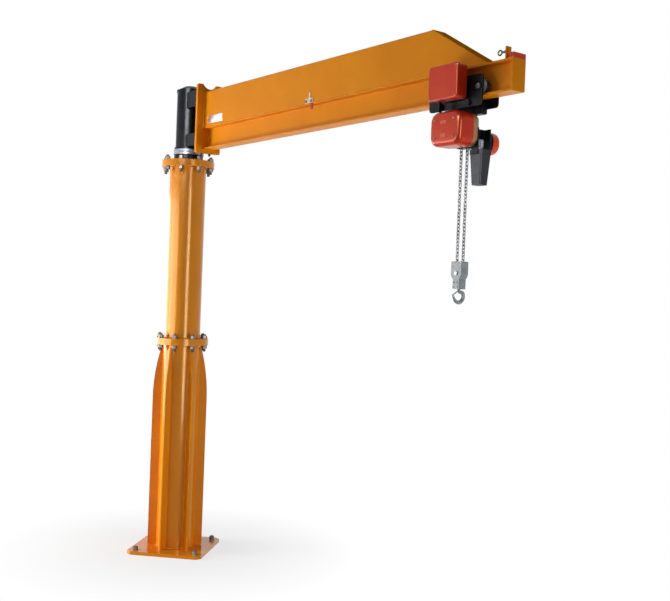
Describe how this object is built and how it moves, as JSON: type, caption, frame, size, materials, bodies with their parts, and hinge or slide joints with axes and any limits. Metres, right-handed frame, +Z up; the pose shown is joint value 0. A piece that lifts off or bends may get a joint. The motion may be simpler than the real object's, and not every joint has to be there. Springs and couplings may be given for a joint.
{
  "type": "pillar jib crane",
  "caption": "Pillar jib crane: ribbed flanged column, slewing I-beam arm with a folded stiffening box, and an electric chain hoist on a trolley with a swivel hook.",
  "frame": {"origin": "centre of the base plate's underside, on the slewing axis", "axes": "+X along the arm from the column to the tip, +Z up the column, +Y to the left of the arm"},
  "size_m": [3.7591, 0.7582, 3.5276],
  "materials": {
    "column_paint": "gloss orange-yellow enamel",
    "arm_paint": "gloss orange-yellow enamel",
    "black_paint": "gloss black enamel",
    "red_paint": "gloss red enamel",
    "band_paint": "satin tan enamel",
    "cast_aluminium": "as cast",
    "bright_steel": "machined, zinc plated",
    "chain_steel": "zinc plated",
    "hook_paint": "satin grey enamel",
    "trip_finish": "white enamel with a red foot",
    "dark_steel": "blackened, lightly oiled",
    "bucket_plastic": "fine grain"
  },
  "bodies": {
    "column": {"base_plate": "column_paint", "lower_tube": "column_paint", "column_ribs": "column_paint", "lower_joint_flange": "column_paint", "upper_joint_flange": "column_paint", "upper_tube": "column_paint", "head_flange": "column_paint", "head_plate": "column_paint", "head_collar": "black_paint", "bearing_ring": "bright_steel", "spindle": "bright_steel", "spindle_cap": "black_paint"},
    "jib": {"sleeve": "black_paint", "upper_bracket": "black_paint", "lower_bracket": "black_paint", "end_plate": "arm_paint", "i_beam": "arm_paint", "upper_box": "arm_paint", "box_end": "arm_paint", "tip_plate": "arm_paint", "tip_bar": "red_paint", "trip_plate": "trip_finish", "eye_bracket": "arm_paint", "eye_bolt": "dark_steel"},
    "trolley": {"near_side_plate": "black_paint", "far_side_plate": "black_paint", "wheels": "dark_steel", "axles": "dark_steel", "tie_bars": "black_paint", "suspension_lug": "black_paint", "control_bracket": "black_paint", "control_box": "red_paint", "motor_cover": "red_paint", "motor_band": "band_paint", "gear_housing": "cast_aluminium", "brake_housing": "black_paint", "chain_guide": "black_paint", "end_cap": "red_paint", "chain_falls": "chain_steel", "bucket_hanger": "black_paint", "chain_bucket": "bucket_plastic"},
    "hook_block": {"block_housing": "hook_paint", "sheave": "bright_steel", "sheave_pin": "bright_steel"},
    "hook": {"hook": "hook_paint", "hook_latch": "bright_steel"}
  },
  "joints": [
    {"name": "slew", "type": "hinge", "parent": "column", "child": "jib", "pos_m": [0, 0, 3], "axis": [0, 0, 1], "range_deg": [-135, 135]},
    {"name": "trolley_travel", "type": "slide", "parent": "jib", "child": "trolley", "axis": [1, 0, 0], "range_m": [-2.47, 0.14]},
    {"name": "hook_lift", "type": "slide", "parent": "trolley", "child": "hook_block", "axis": [0, 0, 1], "range_m": [0, 0.5], "deforming": ["chain_falls"]},
    {"name": "hook_swivel", "type": "hinge", "parent": "hook_block", "child": "hook", "pos_m": [3, 0.02, 2.053], "axis": [0, 0, 1], "continuous": true}
  ]
}
